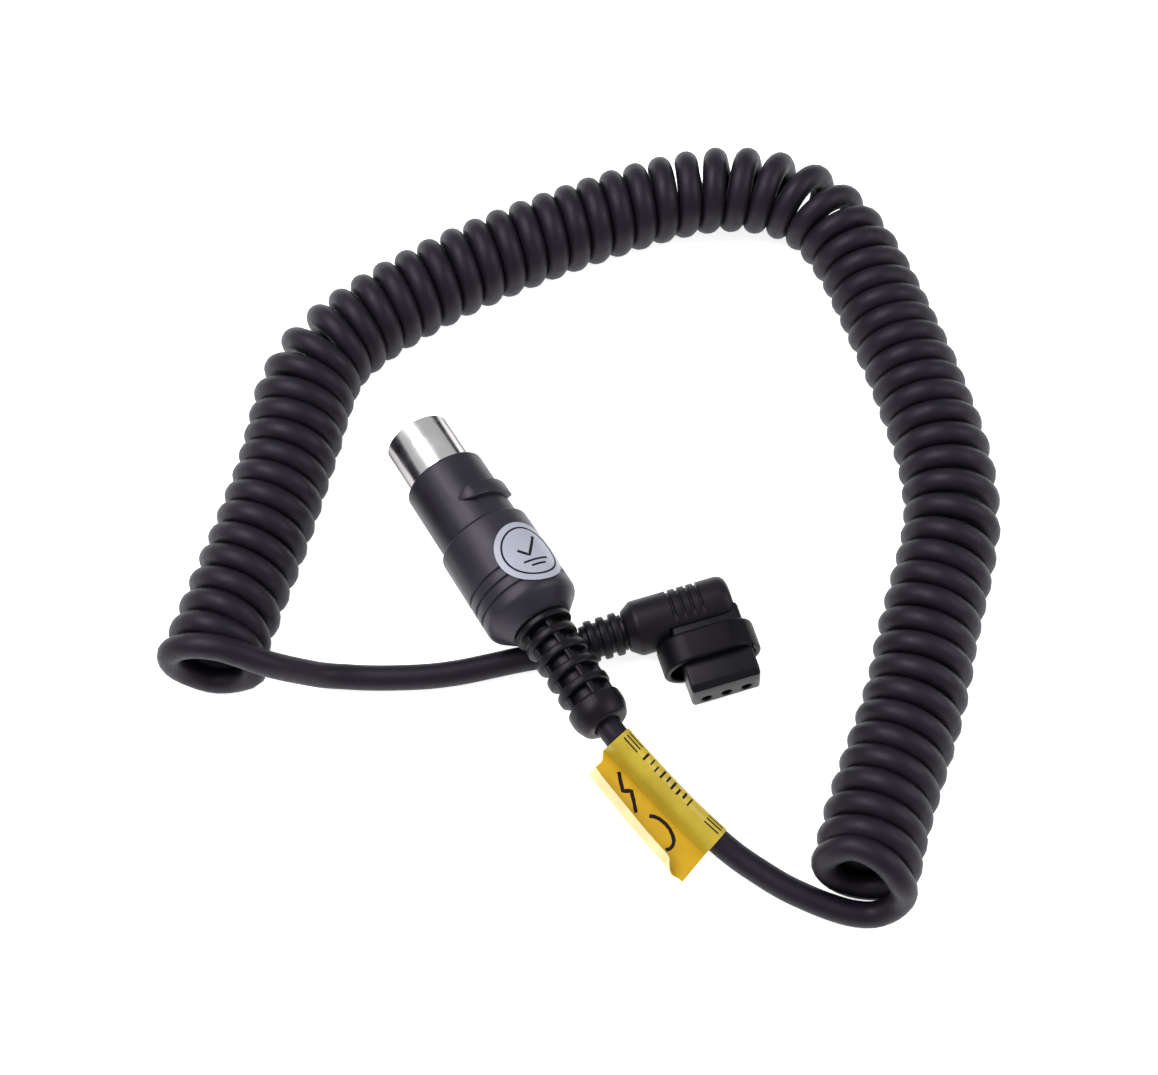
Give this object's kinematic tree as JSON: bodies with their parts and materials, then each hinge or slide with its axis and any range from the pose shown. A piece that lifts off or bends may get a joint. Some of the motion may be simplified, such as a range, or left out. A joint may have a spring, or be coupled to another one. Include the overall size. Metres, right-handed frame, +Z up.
{
  "type": "coiled flash power cable",
  "caption": "Curly power cord for studio flash: a round keyed plug with a turning lock collar and ribbed strain relief at one end, a right-angle plug at the other.",
  "frame": {"origin": "on the table, under the middle of the box around the round plug and its strain relief", "axes": "+Y along the table under the round plug's axis, towards the plug's open metal end; +Z up; +X to the right when looking along +Y"},
  "size_m": [0.1669, 0.1632, 0.0198],
  "materials": {
    "shell_metal": "bright nickel plate",
    "carrier_plastic": "moulded",
    "pin_metal": "plated",
    "wire_jacket": "extruded",
    "collar_plastic": "fine satin moulding",
    "ring_metal": "spring steel",
    "body_plastic": "satin moulding",
    "potting_resin": "cast",
    "ferrule_metal": "drawn",
    "boot_rubber": "soft moulding",
    "sticker_film": "satin film",
    "cord_jacket": "matt extruded jacket",
    "label_film": "glossy film",
    "elbow_plastic": "matt moulding",
    "skirt_plastic": "satin moulding",
    "insert_plastic": "satin moulding",
    "contact_metal": "plated"
  },
  "bodies": {
    "cable": {"plug_shell": "shell_metal", "pin_carrier": "carrier_plastic", "contact_pin_1": "pin_metal", "contact_pin_2": "pin_metal", "contact_pin_3": "pin_metal", "contact_pin_4": "pin_metal", "contact_pin_5": "pin_metal", "plug_conductor_1": "wire_jacket", "plug_conductor_2": "wire_jacket", "plug_conductor_3": "wire_jacket", "plug_conductor_4": "wire_jacket", "plug_conductor_5": "wire_jacket", "collar_retaining_ring": "ring_metal", "plug_body": "body_plastic", "inner_potting": "potting_resin", "crimp_ferrule": "ferrule_metal", "plug_boot": "boot_rubber", "inspection_sticker": "sticker_film", "cord_coil": "cord_jacket", "cord_lead_pack": "cord_jacket", "cord_lead_flash": "cord_jacket", "label_flag": "label_film", "elbow_body": "elbow_plastic", "elbow_boot": "boot_rubber", "elbow_skirt": "skirt_plastic", "socket_insert": "insert_plastic", "socket_contact_1": "contact_metal", "socket_contact_2": "contact_metal", "socket_contact_3": "contact_metal", "elbow_conductor_1": "wire_jacket", "elbow_conductor_2": "wire_jacket", "elbow_conductor_3": "wire_jacket"},
    "collar": {"lock_collar": "collar_plastic"}
  },
  "joints": [
    {"name": "lock_collar_turn", "type": "hinge", "parent": "cable", "child": "collar", "pos_m": [0, 0.01742, 0.00882], "axis": [0, 0.9987, -0.0506], "range_deg": [0, 35]}
  ]
}
